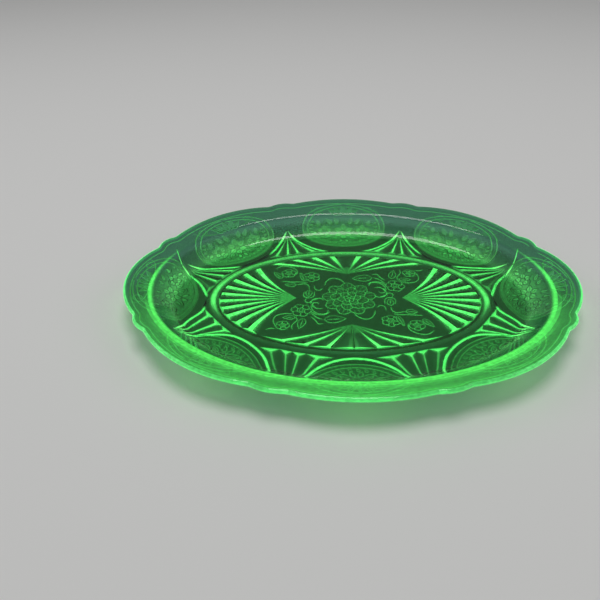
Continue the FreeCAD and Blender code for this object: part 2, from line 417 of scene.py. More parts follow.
def add_ring(plan):
    """The ring, a shallow round groove."""
    for share in RING_ROWS:
        size = between(np.array(RING_OUTER), np.array(RING_INNER), share)
        depth = RING_DEPTH * (1 - (2 * share - 1) ** 2)
        plan.line(ellipse(*size, RING_STEP), depth, closed=True)


# Inner fans: tips, flutes and their floors; a side fan has a left and a right half, whose lines
# meet the ring at the given distances from the middle of the platter.
END_APEX = 39.6
END_STEP = 9.5
END_FLUTES = 10
END_LEAN = 0.72
END_FLOOR = (0.33, 0.64)
END_FINISH = 0.978
# Painted glow of the haze at the tips of the end and side fans.
END_HAZE, SIDE_HAZE = 0.3, 0.15
SIDE_APEX = 32.0
SIDE_STOPS = [0.0, 15.4, 31, 47, 63]
SIDE_LEAN = 0.9
BACK_FLOOR = (0.60, 0.88)
FRONT_FLOOR = (0.06, 0.25)
# Painted glow of each flute of the front and the back side fans.
FRONT_GLOWS = [0.12, 0.85, 0.95, 1.0]
BACK_GLOWS = [0.75, 0.95, 1.0, 1.0]


def near_tip(crests, full):
    """A rib's painted glow, softer where the ribs run together at the tip."""
    apex = crests[0][0]
    return lambda points: full * (0.35 + 0.65 * smoothstep(0.3, 1, run_from(apex, points) / HAZE_REACH))


def add_end_fans(plan):
    """The large fans at both ends of the centre field."""
    for side in (1, -1):
        crests = []
        for i in range(END_FLUTES + 1):
            angle = END_STEP * (0.5 * END_FLUTES - i)
            x, y = on_ring(RING_INNER, angle, -LAND)
            crests.append(bent_crest((side * END_APEX, 0), (side * x, y), END_LEAN))
        ends = [0.8 if i >= END_FLUTES // 2 else 0.0 for i in range(END_FLUTES)]
        floors = [END_FLOOR] * END_FLUTES
        glows = [near_tip(crests, 1.0)] * END_FLUTES
        add_fan(plan, crests, floors, glows, ends, END_HAZE, END_FINISH)


def add_side_fans(plan):
    """The wide fans in the back and front of the centre field."""
    for up in (1, -1):
        for side in (1, -1):
            crests = []
            for stop in SIDE_STOPS:
                height = RING_INNER[1] * math.sqrt(1 - (stop / RING_INNER[0]) ** 2) - LAND
                crests.append(bent_crest((0, up * SIDE_APEX), (side * stop, up * height), SIDE_LEAN))
            floor, glows = (BACK_FLOOR, BACK_GLOWS) if up > 0 else (FRONT_FLOOR, FRONT_GLOWS)
            # Painted glow of the steps at the flutes' ends, brighter in front.
            ends = [0.3 if up > 0 else 0.85] * len(glows)
            floors = [floor] * len(glows)
            add_fan(plan, crests, floors, [near_tip(crests, glow) for glow in glows], ends, SIDE_HAZE)


# Medallions round the ring: eight arched frames with a fan in each gap between two of them. The
# front and the back are drawn apart, each for one quarter, and the other quarters mirror them.

END_FRAME_BACK = [(107.3, 0), (107.7, 4), (110.2, 9.3), (113.9, 17.2), (118.9, 24.3),
                  (125.4, 29.5), (130, 33), (134.2, 40), (136.4, 46.5)]
END_FRAME_FRONT = [(107.3, 0), (107.2, 10), (107.8, 16), (111, 20.6), (115, 25), (118.6, 30.8),
                   (121.8, 39.8), (123.2, 48), (124, 55)]
DIAGONAL_FRAME_BACK = [(127.4, 37.6), (120, 38.8), (111, 39.4), (100, 40.4), (86, 42.2),
                       (76, 47.7), (67, 55.7), (60, 65.5), (56, 76), (52.5, 85), (49.5, 91)]
DIAGONAL_FRAME_FRONT = [(121.5, 51), (115.5, 47.4), (109, 45.2), (102.6, 43.9), (94, 43.2),
                        (87, 43.4), (79.5, 45.9), (70.3, 52.9), (62.3, 62.4), (58.3, 71),
                        (56, 82), (55.2, 91), (55, 98)]
CENTRE_FRAME_BACK = [(0, 66.9), (8, 66.4), (16, 66.6), (21, 68), (26.5, 70.8), (31.5, 74.8),
                     (36.4, 79.3), (41, 84), (48.5, 91.5)]
CENTRE_FRAME_FRONT = [(0, 68), (8.8, 69), (16.8, 71.9), (26.1, 78.2), (31.4, 84.6), (34.8, 92),
                      (37, 100)]
FRAME_WIDTH = 1.9
FRAME_DEPTH = 0.6

# Inset at which the lines end on the wall, where the shoulder begins to cover them.
FRONT_FRAME_END = 24
BACK_FAN_END = 21.5

# Small fans: apex, border lines as (bend, end), and the angles at which the lines between them
# meet the ring. Fans A stand beside the end medallions and fans B beside the middle ones.
FAN_A_BACK = {"apex": (128, 36.2), "near": [(114.5, 24.5), (108.4, 4.5)],
              "far": [(106, 38), (84.5, 41.3)],
              "ends": [15, 22, 30], "floor": (0.36, 0.58), "glows": [0.15, 1.0, 1.0, 1.0]}
FAN_A_FRONT = {"apex": (126.5, 51), "near": [(117, 28.5), (106.6, 14)],
               "far": [(105, 42.5), (84.5, 41.3)],
               "ends": [21, 30], "floor": (0.58, 0.77), "glows": [0.9, 1.0, 1.0]}
FAN_B_BACK = {"apex": (48.8, 91), "near": [(54.5, 69), (63, 56)], "far": [(33, 71), (13, 66.4)],
              "ends": [61, 66.3, 71.5], "floor": (0.36, 0.56), "glows": [0.9, 1.0, 1.0, 0.8]}
FAN_B_FRONT = {"apex": (46, 108), "near": [(56, 78), (63.5, 56.6)], "far": [(30, 80), (14, 67.4)],
               "ends": [62, 67.1, 72.4], "floor": (0.42, 0.56), "glows": [0.3, 0.4, 0.6, 0.6]}
GAP_FAN_DEPTH = 0.75
GAP_FAN_FINISH = 0.93
GAP_RIB_GLOW = 0.9


def mirrored(path, sign_x, sign_y):
    """A path of the first quarter in the quarter with these signs."""
    return np.array(path, float) * (sign_x, sign_y)


def end_frame_glow(points):
    """Painted glow of the frame at an end: brightest beside the fans and dark where it passes the ring."""
    y = points[:, 1]
    back = 0.85 - 0.25 * on_wall(points)
    return np.where(y > 0, back * smoothstep(-0.5, 4, y), 0.9 * smoothstep(10, 14.5, -y))


def side_frame_glow(points):
    """Painted glow of the other frames: bright in front; at the back it fades by the ring and up the wall.
    """
    x, y = abs(points[:, 0]), points[:, 1]
    centre = smoothstep(12, 22, x)
    diagonal = 1 - smoothstep(60, 64, x) * (1 - smoothstep(84, 90, x))
    back = 0.8 * np.minimum(centre, diagonal) * (1 - 0.6 * on_wall(points))
    return np.where(y < 0, 0.9, back)


def on_wall(points):
    """How far up the wall each plan point is: 0 on the flat, 1 half way up."""
    return 1 - smoothstep(26, 37, inset_of(points))


def frame_slim(path):
    """Share of the full width: frames narrow up the wall and where they come close to the ring."""
    x, y = abs(path[:, 0]), path[:, 1]
    at_end = (x > 104) * (1 - smoothstep(1, 7, abs(y + 2)))
    at_back = (y > 60) * (1 - smoothstep(6, 18, x))
    return (1 - 0.6 * on_wall(path)) * (1 - 0.8 * np.maximum(at_end, at_back))


def add_frames(plan):
    """The eight arched frames: one at each end, one front and back, and four diagonal ones."""
    paths = []
    for sign_x, sign_y in QUADRANTS:
        frame = DIAGONAL_FRAME_BACK if sign_y > 0 else DIAGONAL_FRAME_FRONT
        paths.append((mirrored(flowing(frame), sign_x, sign_y), side_frame_glow))
    for sign in (1, -1):
        back, front = flowing(END_FRAME_BACK), mirrored(flowing(END_FRAME_FRONT), 1, -1)
        paths.append((np.concatenate([back[::-1], front[1:]]) * (sign, 1), end_frame_glow))
        half = flowing(CENTRE_FRAME_BACK if sign > 0 else CENTRE_FRAME_FRONT)
        arch = np.concatenate([half[::-1], mirrored(half, -1, 1)[1:]])
        paths.append((arch * (1, sign), side_frame_glow))
    for path, glow in paths:
        below_wall = path[(path[:, 1] > 0) | (inset_of(path) > FRONT_FRAME_END)]
        plan.stroke(below_wall, FRAME_WIDTH, glow, FRAME_DEPTH, frame_slim)


def fan_crests(fan):
    """The lines of a fan between two frames: two curved borders and straight lines between them."""
    apex = fan["apex"]
    crests = [bezier(apex, *fan["near"], FAN_ROWS)]
    for angle in fan["ends"]:
        end = on_ring(RING_OUTER, angle, 1)
        crests.append(bezier(apex, between(np.array(apex), np.array(end), 0.5), end, FAN_ROWS))
    return crests + [bezier(apex, *fan["far"], FAN_ROWS)]


def add_gap_fans(plan):
    """The small fans between the frames, opening towards the ring."""
    for sign_x, sign_y in QUADRANTS:
        for fan in (FAN_A_BACK, FAN_B_BACK) if sign_y > 0 else (FAN_A_FRONT, FAN_B_FRONT):
            crests = [mirrored(crest, sign_x, sign_y) for crest in fan_crests(fan)]
            flutes = len(crests) - 1
            insets = np.min([inset_of(crest) for crest in crests], axis=0)
            reach = BACK_FAN_END if sign_y > 0 else FRONT_FRAME_END
            start = max(FAN_START, int(np.argmax(insets > reach)))
            # Painted glow of the steps at the flutes' ends, and how much of the ribs' painted glow fades
            # up the wall.
            end_glow, fade = (0.3, 0.9) if sign_y > 0 else (0.7, 0.0)
            glows = [rib_on_wall(GAP_RIB_GLOW * share, fade) for share in fan["glows"]]
            add_fan(plan, crests, [fan["floor"]] * flutes, glows, [end_glow] * flutes, 0,
                    GAP_FAN_FINISH, GAP_FAN_DEPTH, start)


def rib_on_wall(full, fade):
    """A rib's painted glow that fades from the foot of the wall upwards."""
    return lambda points: full * (1 - fade * (1 - smoothstep(29, 40, inset_of(points))))


# Floral motifs: width of a fine line, painted glow of lines and of the shapes they enclose, and
# the sloping border of a petal or leaf.

FINE = 0.6
LINE_GLOW = 0.52
FILL_GLOW = 0.035
PETAL_BORDER = 0.42
VEIN_WIDTH = 0.5
VEIN_DEPTH = 0.1
VEINED_WIDTH = 4
SPIRAL_POINTS = 30

# The rose's wreaths from the outside in: petals, where they start, their length and width, and turn.
ROSE_WREATHS = [(9, 8.5, 13.0, 12.5, 12), (8, 4.5, 11.0, 9.8, 34), (6, 1.6, 8.0, 7.2, 8),
                (5, 0.6, 4.4, 4.2, 20)]
ROSE_CENTRE = (0, -0.8)
# Painted glow of the rose's petals, outlines and veins.
ROSE_FILL, ROSE_LINE, ROSE_VEIN = 0.055, 0.46, 0.36


def turned(points, centre, degrees):
    """Points turned about the origin and then moved to a centre."""
    turn = math.radians(degrees)
    spin = np.array([[math.cos(turn), math.sin(turn)], [-math.sin(turn), math.cos(turn)]])
    return np.array(points) @ spin + np.array(centre)


def petal_outline(length, width, notch=0.0, count=11):
    """A petal that grows along +x from its base at the origin, with an optional notch in its tip."""
    s = np.linspace(0, 1, count)
    half = 0.5 * width * np.sin(math.pi * s ** 0.75) ** 0.8
    upper = np.stack([length * s, half], 1)[1:-1]
    tip = [(length * (1 - notch), 0)]
    return np.concatenate([[(0, 0)], upper * (1, -1), tip, upper[::-1]])


def heading(base, tip):
    """Direction in degrees and distance from one plan point to another."""
    chord = np.array(tip, float) - np.array(base, float)
    return math.degrees(math.atan2(chord[1], chord[0])), float(np.linalg.norm(chord))


def add_vein(plan, base, angle, start, end, glow=LINE_GLOW):
    """A fine line along the middle of a petal or leaf."""
    plan.stroke(turned([(start, 0), (end, 0)], base, angle), VEIN_WIDTH, glow, VEIN_DEPTH)


def add_flower(plan, centre, radius, petals, turn=0.0):
    """A simple flower: a round eye and a wreath of petals."""
    eye = ellipse(0.2 * radius, 0.2 * radius, 1.0)
    plan.pad(eye + np.array(centre), 0.3, LINE_GLOW, FILL_GLOW)
    for i in range(petals):
        angle = turn + 360 * i / petals
        petal = petal_outline(0.72 * radius, 1.15 * radius * math.sin(math.pi / petals) * 1.5, 0.08)
        plan.pad(turned(petal + (0.27 * radius, 0), centre, angle), PETAL_BORDER, LINE_GLOW, FILL_GLOW)


def add_leaf(plan, base, tip, width):
    """A leaf from base to tip, with a vein if it is wide enough."""
    angle, length = heading(base, tip)
    plan.pad(turned(petal_outline(length, width), base, angle), PETAL_BORDER, LINE_GLOW, FILL_GLOW)
    if width > VEINED_WIDTH:
        add_vein(plan, base, angle, 0.15 * length, 0.8 * length)


def add_tendril(plan, corners):
    """A fine curved line."""
    plan.stroke(flowing(corners), FINE, LINE_GLOW)


def spiral(centre, start_radius, end_radius, start_angle, sweep):
    """A path that winds round a centre, angles in degrees."""
    turn = np.radians(start_angle + np.linspace(0, sweep, SPIRAL_POINTS))
    radius = np.linspace(start_radius, end_radius, SPIRAL_POINTS)
    return np.array(centre) + np.stack([radius * np.cos(turn), radius * np.sin(turn)], 1)


def add_rose(plan):
    """The full flower in the middle of the platter: four wreaths, each over the one outside it."""
    for petals, start, length, width, turn in ROSE_WREATHS:
        petal = petal_outline(length, width, 0.08) + (start, 0)
        for i in range(petals):
            angle = turn + 360 * i / petals
            plan.pad(turned(petal, ROSE_CENTRE, angle), 0.5, ROSE_LINE, ROSE_FILL)
            if length > 7:
                for spread in (-11, 0, 11):
                    add_vein(plan, ROSE_CENTRE, angle + spread, start + 0.45 * length,
                             start + 0.82 * length, ROSE_VEIN)


def add_sprays(plan):
    """Leafy sprays that fill the field, the same on both sides after half a turn."""
    for half in (1, -1):
        def at(*points):
            return [(half * x, half * y) for x, y in points]

        add_leaf(plan, *at((19.5, 26.5), (3.5, 25.5)), 9)
        add_tendril(plan, at((20, 26.5), (24, 25), (27, 21), (29, 19)))
        add_tendril(plan, at((29, 23), (25, 28), (24, 32), (20, 31)))
        add_flower(plan, at((36, 15.5))[0], 8.2, 6, 20 + 90 * half)
        add_leaf(plan, *at((34, 25), (37.5, 37)), 6)
        add_leaf(plan, *at((40, 24), (49.5, 24)), 5)
        add_flower(plan, at((49, 33))[0], 5.6, 5, 10 + 90 * half)
        add_tendril(plan, at((42, 20), (47, 19), (54, 21), (56.5, 27), (54, 34)))
        add_tendril(plan, at((40, 23), (38, 27), (43, 33), (42, 38)))
        add_tendril(plan, at((54, 37), (58, 36), (61, 38)))
        add_tendril(plan, at((16, 15), (17, 20), (24, 20), (28, 15), (29, 10)))
        add_tendril(plan, spiral(at((24.5, 8.5))[0], 4.2, 1.6, 60 + 90 * (1 - half), -230))
        add_tendril(plan, at((23, 1), (28, 3), (30, 7), (34, 4), (32, 1)))
        add_flower(plan, at((-28, 28))[0], 7.2, 6, 90 * half)
        add_leaf(plan, *at((-33, 22), (-37, 34)), 4.5)
        add_flower(plan, at((-46, 33))[0], 6.4, 5, 90 * half)
        add_leaf(plan, *at((-51, 26), (-58, 35)), 5)
        add_tendril(plan, at((-52, 22), (-44, 21), (-36, 21), (-31, 20)))
        add_tendril(plan, at((-57, 39), (-52, 44), (-44, 42), (-39, 37), (-40, 31)))
        add_leaf(plan, *at((-40, 17), (-49, 17.5)), 6)
        add_tendril(plan, at((-40, 17), (-33, 19), (-30, 16), (-30, 11)))
        add_leaf(plan, *at((-30, 10), (-30.5, 1)), 5.4)
        add_tendril(plan, at((-33.5, 8), (-35, 2), (-30, -1), (-26, 2), (-26, 8)))
        add_tendril(plan, at((-18, 16), (-17, 22), (-12, 27), (-5, 24), (-2.5, 19)))
        add_tendril(plan, at((-26, 16), (-26, 11), (-22, 9), (-20, 12)))
        add_tendril(plan, at((-29, -8), (-28, -2), (-22, 0), (-19, -3)))
        add_tendril(plan, at((-28, -8), (-25, -14), (-20, -13)))
        add_tendril(plan, at((-30, -16), (-25, -21), (-18, -21), (-15, -17)))


# Medallions: where the foot of the wall is, the foot and outward direction of a diagonal one, the
# run of the wall in plan and over its surface, and the disc's centre and half sizes over it.
FOOT_INSET = 34.5
DIAGONAL_FOOT, DIAGONAL_WAY = (88.8, 66.2), (0.572, 0.82)
WALL_RUN, WALL_LENGTH = 14.0, 19.1
FLANGE_RUN, FLANGE_STRETCH = 40, 1.035
DISC_RISE = 8.9
DISC_ALONG, DISC_ACROSS = 25.5, 35.5
PLAN_RUNS = [0, WALL_RUN, WALL_RUN + FLANGE_RUN]
SURFACE_RUNS = [0, WALL_LENGTH, WALL_LENGTH + FLANGE_RUN * FLANGE_STRETCH]


def surface_run(run):
    """Length over the wall and flange for a plan distance outside the foot."""
    return np.interp(run, PLAN_RUNS, SURFACE_RUNS)


def plan_run(length):
    """The plan distance outside the foot for a length over the wall and flange."""
    return np.interp(length, SURFACE_RUNS, PLAN_RUNS)


class Medallion:
    """One arched frame's axes: `along` runs outward over the wall as a tape would, `across` round it."""

    def __init__(self, foot, degrees):
        turn = math.radians(degrees)
        self.foot = np.array(foot, float)
        self.outward = np.array([math.cos(turn), math.sin(turn)])
        self.sideways = np.array([-math.sin(turn), math.cos(turn)])

    def place(self, points):
        """Plan points for points given as (along, across)."""
        along, across = np.array(points, float).reshape(-1, 2).T
        flat = self.foot + np.outer(along + DISC_RISE, self.outward) + np.outer(across, self.sideways)
        length = np.maximum(0, FOOT_INSET - inset_of(flat))
        return flat - np.outer(length - plan_run(length), self.outward)

    def measure(self, points):
        """(along, across) for plan points."""
        run = np.maximum(0, FOOT_INSET - inset_of(points))
        flat = points + np.outer(surface_run(run) - run, self.outward) - self.foot
        return flat @ self.outward - DISC_RISE, flat @ self.sideways

    def holds(self, points):
        """Which plan points lie inside the disc."""
        along, across = self.measure(points)
        return (along / DISC_ALONG) ** 2 + (across / DISC_ACROSS) ** 2 < 1


def all_medallions():
    """The eight medallions: one at each end, one back and front, and four diagonal ones."""
    made = []
    for sign in (1, -1):
        made.append(Medallion((sign * (HALF_LENGTH - FOOT_INSET), 0), 90 - 90 * sign))
        made.append(Medallion((0, sign * (HALF_WIDTH - FOOT_INSET)), 90 * sign))
        for side in (1, -1):
            degrees = math.degrees(math.atan2(sign * DIAGONAL_WAY[1], side * DIAGONAL_WAY[0]))
            made.append(Medallion((side * DIAGONAL_FOOT[0], sign * DIAGONAL_FOOT[1]), degrees))
    return made


MEDALLIONS = all_medallions()

# Motif of one disc, as (along, across) from its centre: flowers as across, radius and petals;
# leaves as base, tip and width; scrolls as corners. Leaves and scrolls appear on both sides.
WREATH_LEAVES = 34
DISC_FLOWERS = [(0, 9.4, 6), (16.5, 7.0, 5), (-16.5, 7.0, 5)]
DISC_LEAVES = [((-9, 5), (-15, 11), 4.6), ((-6, 9.5), (-12.5, 17), 4.2), ((4, 5), (11, 7.5), 4.2),
               ((4, 10), (10, 15), 4.2), ((-4, 23), (-8, 28), 3.6), ((2, 21), (8, 23), 4.0),
               ((-13, 1.5), (-19, 4), 3.8)]
DISC_SCROLLS = [[(-2, 8), (2, 11), (1, 15), (6, 18), (10, 14)],
                [(-9, 11), (-13, 15), (-11, 21), (-7, 20)],
                [(-14, 4), (-17, 9), (-14, 14), (-11, 12)],
                [(0, 21), (4, 25), (-1, 28), (-4, 25)]]
LOBE_LEAVES = [((12.5, 2.5), (23.5, 8), 4.8), ((12.5, 5), (19.5, 13.5), 4.4)]
OVAL_WIDTH = 0.9
OVAL_SHARES = (1.0, 0.88)

# Painted glow of the discs' ground in front and at the back, and of their lines there.
DISC_FRONT, DISC_BACK = 0.03, 0.2
FRONT_LINE, BACK_LINE = 0.3, 0.1

# Insets between which the shoulder covers the underside in front, the plan y below which that
# counts, and the insets where the flange ends and where the plain rim does.
COVERED_FROM, COVERED_TO = 17, 28
LEAF_COVERED_TO = 31
FRONT_Y = -40
FLANGE_EDGE = 20.5
RIM_MARGIN = 3.4


def draw_within(plan, path, keep, width, glow):
    """A stroke along the parts of a path that `keep` allows."""
    path = evenly(path, STROKE_STEP)
    run = []
    for point, good in zip(path, np.append(keep(path)[:-1], False)):
        if good:
            run.append(point)
            continue
        if len(run) > 4:
            plan.stroke(run, width, glow)
        run = []


def leaf_between(plan, medallion, base, tip, width, fill, line):
    """A leaf laid over the curved wall: its outline is drawn flat and then rolled onto the wall.

    In front it is left out where the shoulder would cover it."""
    tip_inset = inset_of(medallion.place([tip]))[0]
    if medallion.outward[1] < -0.3 and COVERED_FROM < tip_inset < LEAF_COVERED_TO:
        return
    angle, length = heading(base, tip)
    outline = turned(petal_outline(length, width), base, angle)
    plan.pad(medallion.place(outline), min(0.7, 0.15 * width), line, fill)
    if width > VEINED_WIDTH:
        middle = turned([(0.15 * length, 0), (0.5 * length, 0), (0.8 * length, 0)], base, angle)
        plan.stroke(medallion.place(middle), 0.6, line, VEIN_DEPTH)


def sided_leaves(plan, medallion, leaves, side, fill, line):
    """Leaves given as base, tip and width, on one side of a medallion's middle line."""
    for base, tip, width in leaves:
        ends = [(along, side * across) for along, across in (base, tip)]
        leaf_between(plan, medallion, *ends, width, fill, line)


def painted_disc_contrast(points):
    """How far the painted glow shows dark lines on a light disc: 0 in front, 1 at the ends and the back.
    """
    return smoothstep(-45, -18, points[:, 1])


def back_wall(points):
    """How far up the wall a plan point is, at the back only."""
    return on_wall(points) * smoothstep(10, 50, points[:, 1])


def disc_level(points):
    """Painted glow of a disc's ground, rising from front to back."""
    return DISC_FRONT + (DISC_BACK - DISC_FRONT) * smoothstep(-60, 60, points[:, 1])


def disc_line(points):
    """Painted glow of a disc's lines."""
    return between(FRONT_LINE, BACK_LINE * back_wall(points), painted_disc_contrast(points))


def disc_fill(points):
    """Painted glow of a disc's petals and leaves."""
    return disc_level(points) * (2.0 - 0.1 * on_wall(points) - 1.35 * back_wall(points))


def oval_glow(points):
    """The ovals' painted glow stays light on the flange and the wall."""
    return np.where(inset_of(points) < 22, 0.22, 0.24 - 0.1 * painted_disc_contrast(points))


def add_disc(plan, medallion):
    """The motif inside one frame: three flowers among leaves, in a wreath and two ovals."""
    def on_side(path):
        return inset_of(path) > np.where(path[:, 1] < FRONT_Y, COVERED_TO, FLANGE_EDGE)

    def short_of_rim(path):
        inset = inset_of(path)
        covered = (path[:, 1] < FRONT_Y) & (inset > COVERED_FROM) & (inset < COVERED_TO)
        return (inset > RIM_MARGIN) & ~covered

    turn = np.linspace(0, 2 * math.pi, 150)
    size = np.array([DISC_ALONG, DISC_ACROSS])
    for share in OVAL_SHARES:
        oval = np.stack([DISC_ALONG * share * np.cos(turn), DISC_ACROSS * share * np.sin(turn)], 1)
        draw_within(plan, medallion.place(oval), short_of_rim, OVAL_WIDTH, oval_glow)
    for i in range(WREATH_LEAVES):
        angle = 2 * math.pi * (i + 0.5) / WREATH_LEAVES
        lean = angle + 0.09
        inner = size * (0.72 * math.cos(angle), 0.76 * math.sin(angle))
        outer = size * (0.84 * math.cos(lean), 0.85 * math.sin(lean))
        if on_side(medallion.place([outer]))[0]:
            leaf_between(plan, medallion, inner, outer, 2.4, disc_fill, disc_line)
    for across, radius, petals in DISC_FLOWERS:
        centre = (-4.5 + 0.004 * across ** 2, across)
        for i in range(petals):
            base = turned([(0.18 * radius, 0)], centre, 360 * i / petals)[0]
            tip = turned([(radius, 0)], centre, 360 * i / petals)[0]
            leaf_between(plan, medallion, base, tip, 4 * radius / petals, disc_fill, disc_line)
    for side in (1, -1):
        sided_leaves(plan, medallion, DISC_LEAVES, side, disc_fill, disc_line)
        for corners in DISC_SCROLLS:
            path = flowing([(a, side * c) for a, c in corners])
            draw_within(plan, medallion.place(path), on_side, FINE, disc_line)


def add_lobe(plan, medallion, fill, line):
    """The motif on the flange: a palmette under the arch of the rim, with a scroll on both sides."""
    leaf_between(plan, medallion, (12.5, 0), (24.5, 0), 5, fill, line)
    for side in (1, -1):
        sided_leaves(plan, medallion, LOBE_LEAVES, side, fill, line)
        curl = spiral((17.5, side * 21), 4.6, 1.2, 90 * side, -400 * side)
        plan.stroke(medallion.place(curl), FINE, line)
        stem = flowing([(13.5, side * 8), (13, side * 15), (15, side * 26), (21, side * 29)])
        plan.stroke(medallion.place(stem), FINE, line)


# ---- the glass mesh

OUTLINE = outline_loop()
EDGE_STEPS = 12

# Spacing of the plain points on the flat of the well and on the wall, where the flat begins, and
# how far the points keep from the lines.
FILL_STEP = 2.6
WALL_STEP = 1.7
FLAT_INSET = 42
CLEAR = 0.9
MERGE = 1e-4

# Insets of the loops of the upper face, closest on the shoulder and at the foot of the wall.
TOP_INSETS = list(np.concatenate([np.arange(3.4, 17, 2.3), np.arange(17.4, 22.4, 0.7),
                                  np.arange(23, 29, 1.5), np.arange(29.4, 42, 1.1)]))

# An arched line with a painted glow runs round the flange just inside the rim; its ends stay
# this many points apart.
ARCH_INSET, ARCH_WIDTH, ARCH_GLOW, ARCH_GAP = 4.4, 0.9, 0.22, 3
# Painted glow of the flange motifs' fill, and of their lines at the ends and elsewhere.
LOBE_FILL = 0.07
END_LOBE_LINE, OTHER_LOBE_LINE = 0.26, 0.14
SHARP_ANGLE = math.radians(17)


def rim_loops():
    """Loops round the rim from the upper face to the underside, as arrays of x, y, z."""
    normal = inward(OUTLINE)
    seat = OUTLINE + normal * RIM_ROUND
    top, under = section_height(TOP_LINE, seat), section_height(UNDER_LINE, seat)
    loops = []
    for angle in np.linspace(90, -90, EDGE_STEPS + 1):
        turn = math.radians(angle)
        plan = OUTLINE + normal * RIM_ROUND * (1 - math.cos(turn))
        height = 0.5 * (top + under) + 0.5 * (top - under) * math.sin(turn)
        loops.append(np.column_stack([plan, height]))
    return loops


def top_loops(seat):
    """Loops of the smooth upper face from the rim in to the flat of the well."""
    turn = np.arctan2(seat[:, 1] / HALF_WIDTH, seat[:, 0] / HALF_LENGTH)
    loops = []
    for inset in TOP_INSETS:
        share = float(smoothstep(RIM_ROUND, 12, inset))
        oval = np.stack([(HALF_LENGTH - inset) * np.cos(turn), (HALF_WIDTH - inset) * np.sin(turn)], 1)
        scaled = seat * (1 - (inset - RIM_ROUND) / HALF_WIDTH)
        plan = between(scaled, oval, share)
        loops.append(np.column_stack([plan, section_height(TOP_LINE, plan)]))
    return loops


def fill_points(plan, boundary):
    """Plain points between the ornament's lines, so that no triangle spans a curve of the section."""
    candidates = []
    for inset in np.arange(3.2, FLAT_INSET, WALL_STEP):
        candidates.append(ellipse(HALF_LENGTH - inset, HALF_WIDTH - inset, WALL_STEP * 1.15, inset))
    reach = (HALF_LENGTH - FLAT_INSET, HALF_WIDTH - FLAT_INSET)
    for row, y in enumerate(np.arange(-reach[1], reach[1], FILL_STEP * 0.87)):
        x = np.arange(-reach[0], reach[0], FILL_STEP) + (row % 2) * 0.5 * FILL_STEP
        grid = np.stack([x, np.full_like(x, y)], 1)
        candidates.append(grid[ellipse_share(grid, reach) < 1])
    candidates = np.concatenate(candidates)
    candidates = candidates[inside_polygon(candidates, boundary + inward(boundary) * 0.8)]
    for polygon in plan.solid:
        low, high = polygon.min(0), polygon.max(0)
        near = np.all((candidates > low) & (candidates < high), axis=1)
        held = np.zeros(len(candidates), bool)
        held[near] = inside_polygon(candidates[near], polygon)
        candidates = candidates[~held]
    past_inner = ellipse_share(candidates, RING_INNER) > 1
    in_outer = ellipse_share(candidates, RING_OUTER) < 1
    candidates = candidates[~(past_inner & in_outer)]
    tree = kdtree.KDTree(len(plan.points))
    for number, point in enumerate(plan.points):
        tree.insert((*point, 0), number)
    tree.balance()
    return [tuple(p) for p in candidates if tree.find((*p, 0))[2] > CLEAR]


def underside(plan, boundary):
    """The underside as triangles: corner points, faces, painted glow of each face, corners on the
    boundary.
    """
    border = plan.line(boundary, 0, closed=True)
    areas = [border] + plan.areas
    extra = fill_points(plan, boundary)
    points = [Vector(p) for p in plan.points + extra]
    depths = plan.depths + [0.0] * len(extra)
    corners, edges, faces, from_points, from_edges, from_areas = geometry.delaunay_2d_cdt(
        points, plan.edges, areas, 0, MERGE)
    place = np.array(corners)
    number_of = {source: number for number, sources in enumerate(from_points) for source in sources}
    depth = corner_depths(plan, depths, place, from_points, edges, from_edges)
    kept = [(face, max(sources)) for face, sources in zip(faces, from_areas) if sources]
    faces = [face for face, _ in kept]
    middles = np.array([place[list(face)].mean(0) for face in faces])
    glow = area_glows([None] + plan.glows, [area for _, area in kept], middles)
    height = section_height(UNDER_LINE, place) + depth
    return np.column_stack([place, height]), faces, glow, [number_of[n] for n in border]


def corner_depths(plan, depths, place, from_points, edges, from_edges):
    """Depth of every corner: its own where it was drawn, else worked out along the line it is on."""
    depth = np.full(len(place), np.nan)
    for number, sources in enumerate(from_points):
        if sources:
            depth[number] = max(depths[source] for source in sources)
    for edge, sources in zip(edges, from_edges):
        for corner in edge:
            if not np.isnan(depth[corner]):
                continue
            for source in sources:
                if source < len(plan.edges):
                    first, last = plan.edges[source]
                    run = math.dist(plan.points[first], place[corner])
                    share = run / max(math.dist(plan.points[first], plan.points[last]), 1e-9)
                    depth[corner] = between(depths[first], depths[last], share)
    return np.nan_to_num(depth)


def area_glows(glows, areas, middles):
    """Painted glow of every face, from the area on top of it, or from the ground where no area is."""
    users = {}
    for number, area in enumerate(areas):
        users.setdefault(glows[area], []).append(number)
    glow = ground_glow(middles)
    for value, numbers in users.items():
        if value is not None:
            glow[numbers] = value(middles[numbers]) if callable(value) else value
    return glow


def ground_glow(points):
    """Painted glow of the plain underside: the ring, the discs in the medallions, and the wall."""
    outer = ellipse_share(points, RING_OUTER)
    inner = ellipse_share(points, RING_INNER)
    glow = np.zeros(len(points))
    inset = inset_of(points)
    brightness = disc_level(points) * (0.85 - 0.25 * on_wall(points))
    brightness = brightness * (1 - 0.75 * back_wall(points))
    for medallion in MEDALLIONS:
        held = medallion.holds(points) * smoothstep(18, 22, inset)
        glow = np.maximum(glow, held * brightness)
    across = (1 - np.sqrt(outer)) / (1 - RING_INNER[0] / RING_OUTER[0])
    start = 0.04 + 0.5 * (1 - smoothstep(-26, 2, points[:, 1]))
    body = smoothstep(start, start + 0.22, across) * (1 - smoothstep(0.62, 0.8, across))
    ring = (0.02 + 0.55 * smoothstep(-30, -4, points[:, 1])) * (0.08 + 0.92 * body)
    well = smoothstep(20, 30, inset) * (1 - back_wall(points))
    return 0.01 + GROUND_GLOW * well + np.where((outer < 1) & (inner >= 1), ring, glow)


